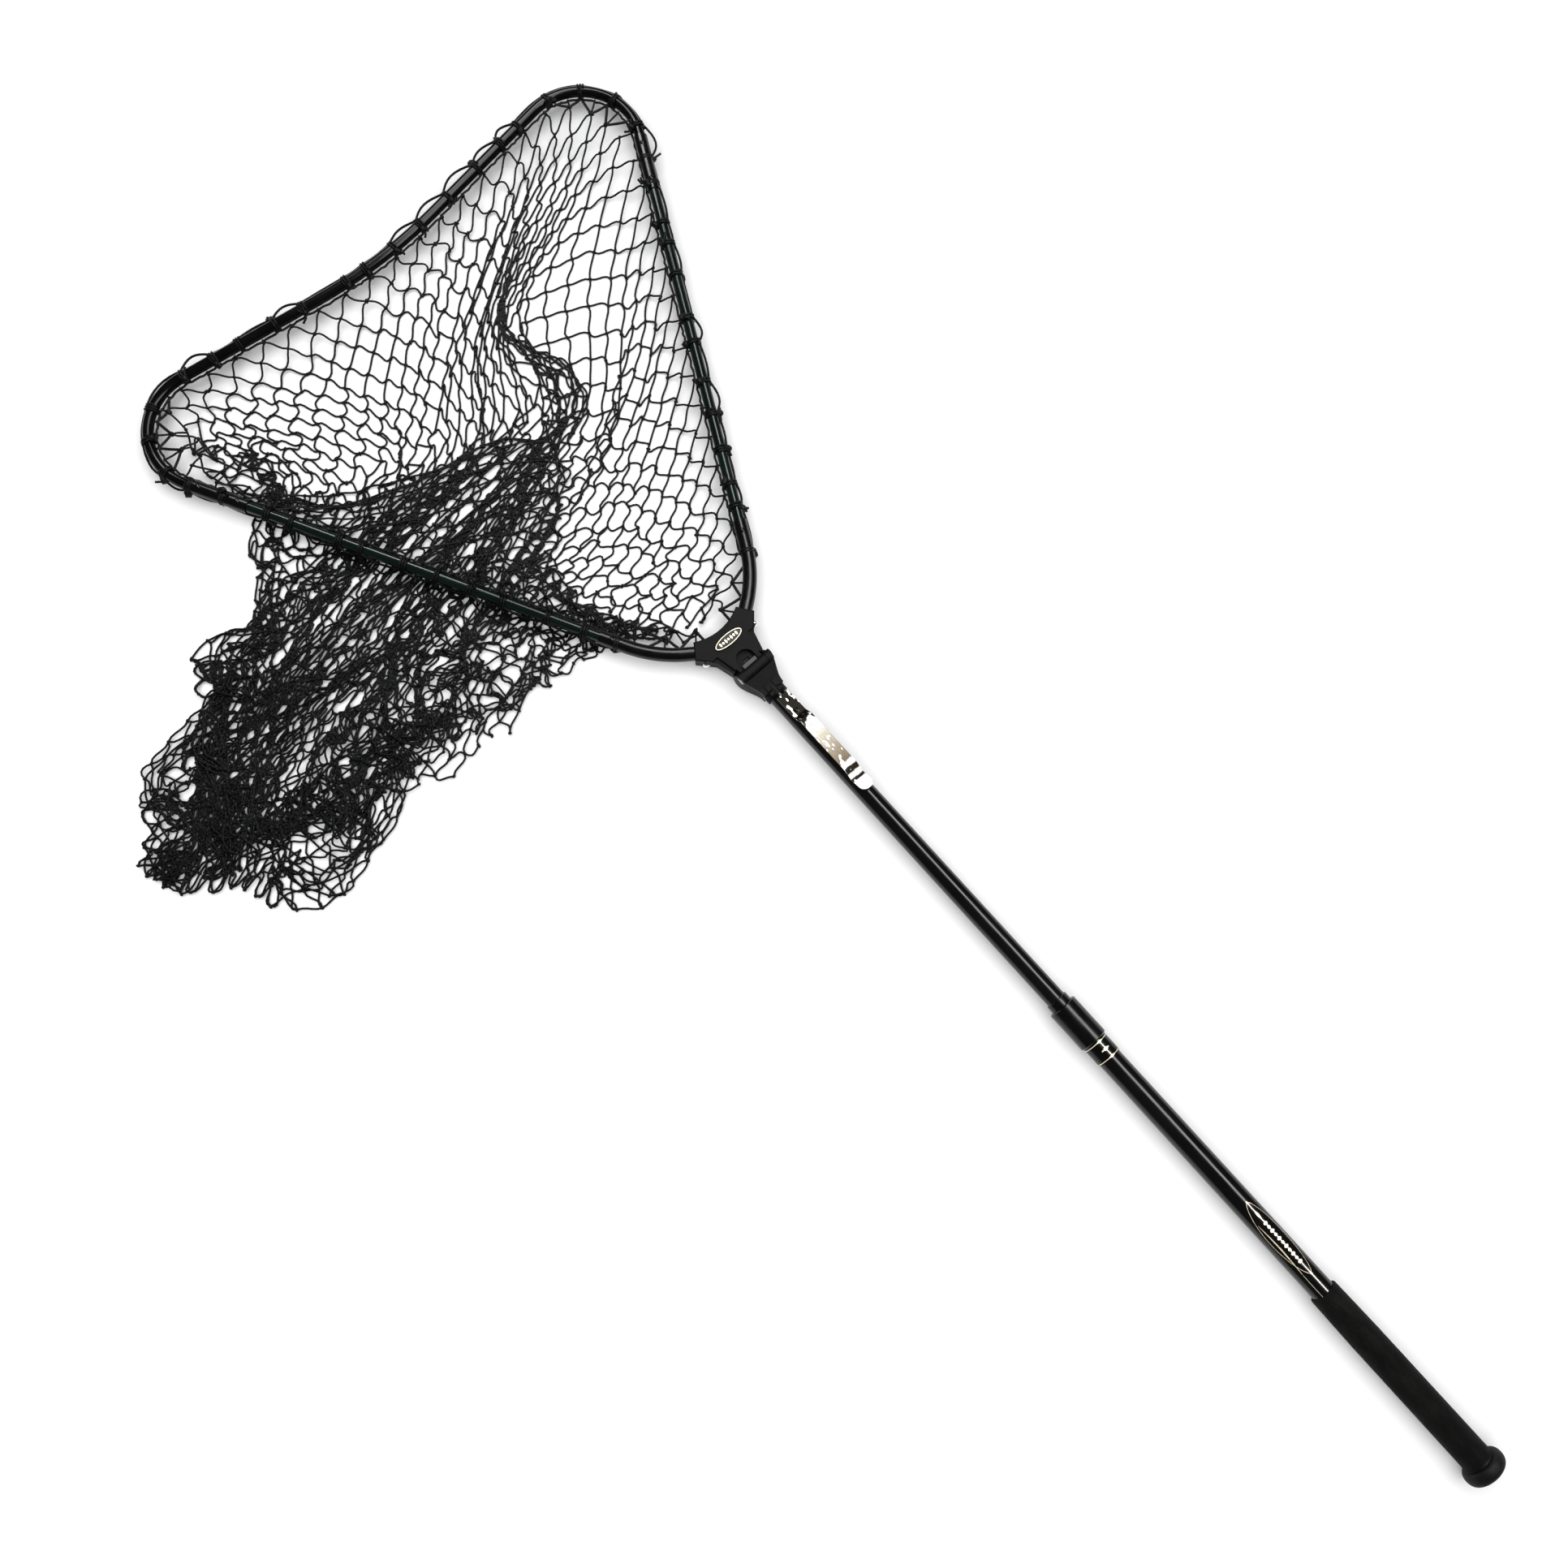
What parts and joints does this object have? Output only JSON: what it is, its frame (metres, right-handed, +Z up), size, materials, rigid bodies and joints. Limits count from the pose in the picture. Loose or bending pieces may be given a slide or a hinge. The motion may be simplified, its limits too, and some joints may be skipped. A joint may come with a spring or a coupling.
{
  "type": "landing net",
  "caption": "Telescopic landing net: a long round handle with a foam grip, twist lock and belt clip, and a folding triangular hoop that carries a knotted net bag.",
  "frame": {"origin": "centre of the butt cap's end face, on the handle's axis", "axes": "+X along the handle from the butt to the head; +Z up, the side of the belt clip and the badge; +Y the side on which the bag lies"},
  "size_m": [1.8113, 0.9845, 0.0468],
  "materials": {
    "black_tube": "gloss",
    "green_tube": "satin",
    "moulded_black": "satin",
    "gloss_black": "gloss",
    "nylon": "satin",
    "grip_foam": "matte",
    "cap_rubber": "matte",
    "polished_steel": "polished",
    "chrome": "polished",
    "steel": "satin",
    "badge": "gloss",
    "pad_grey": "satin",
    "netting": "matte"
  },
  "bodies": {
    "neck": {"inner_tube": "black_tube", "guide_bush": "nylon", "expander_screw": "steel", "hinge_fork": "moulded_black", "neck_pin": "steel", "hinge_pin": "steel", "belt_clip": "polished_steel", "clip_rivets": "polished_steel"},
    "lock_sleeve": {"expander_sleeve": "nylon"},
    "lock_cone": {"expander_cone": "steel"},
    "grip_section": {"outer_tube": "black_tube", "lock_collar": "gloss_black", "collar_bush": "nylon", "decor_band": "gloss_black", "grip": "grip_foam", "butt_cap": "cap_rubber"},
    "head": {"yoke": "moulded_black", "yoke_badge": "badge", "yoke_bolts": "chrome", "dome_nuts": "chrome", "elbow_left": "gloss_black", "elbow_right": "gloss_black", "elbow_rivets": "steel", "arm_tube_left": "green_tube", "arm_tube_right": "green_tube", "sleeve_left": "gloss_black", "sleeve_right": "gloss_black", "sleeve_rivets": "steel", "front_bow": "black_tube", "net_bag": "netting", "lashing": "netting", "latch_spring": "steel"},
    "latch": {"latch_bolt": "steel", "thumb_pad": "pad_grey"}
  },
  "joints": [
    {"name": "twist_lock", "type": "hinge", "parent": "neck", "child": "lock_sleeve", "pos_m": [0.55, 0, 0], "axis": [1, 0, 0], "range_deg": [0, 180]},
    {"name": "cone_travel", "type": "slide", "parent": "lock_sleeve", "child": "lock_cone", "axis": [-1, 0, 0], "range_m": [0, 0.0009]},
    {"name": "telescope_slide", "type": "slide", "parent": "lock_sleeve", "child": "grip_section", "axis": [1, 0, 0], "range_m": [0, 0.29]},
    {"name": "head_fold", "type": "hinge", "parent": "neck", "child": "head", "pos_m": [1.112, 0, 0.016], "axis": [0, -1, 0], "range_deg": [0, 175]},
    {"name": "latch_slide", "type": "slide", "parent": "head", "child": "latch", "axis": [1, 0, 0], "range_m": [0, 0.006], "stiffness_N_per_m": 400, "springref_m": -0.006, "deforming": ["latch_spring"]}
  ],
  "couplings": [
    {"joint": "cone_travel", "follows": "twist_lock", "m_per_rad": 0.00027852}
  ]
}
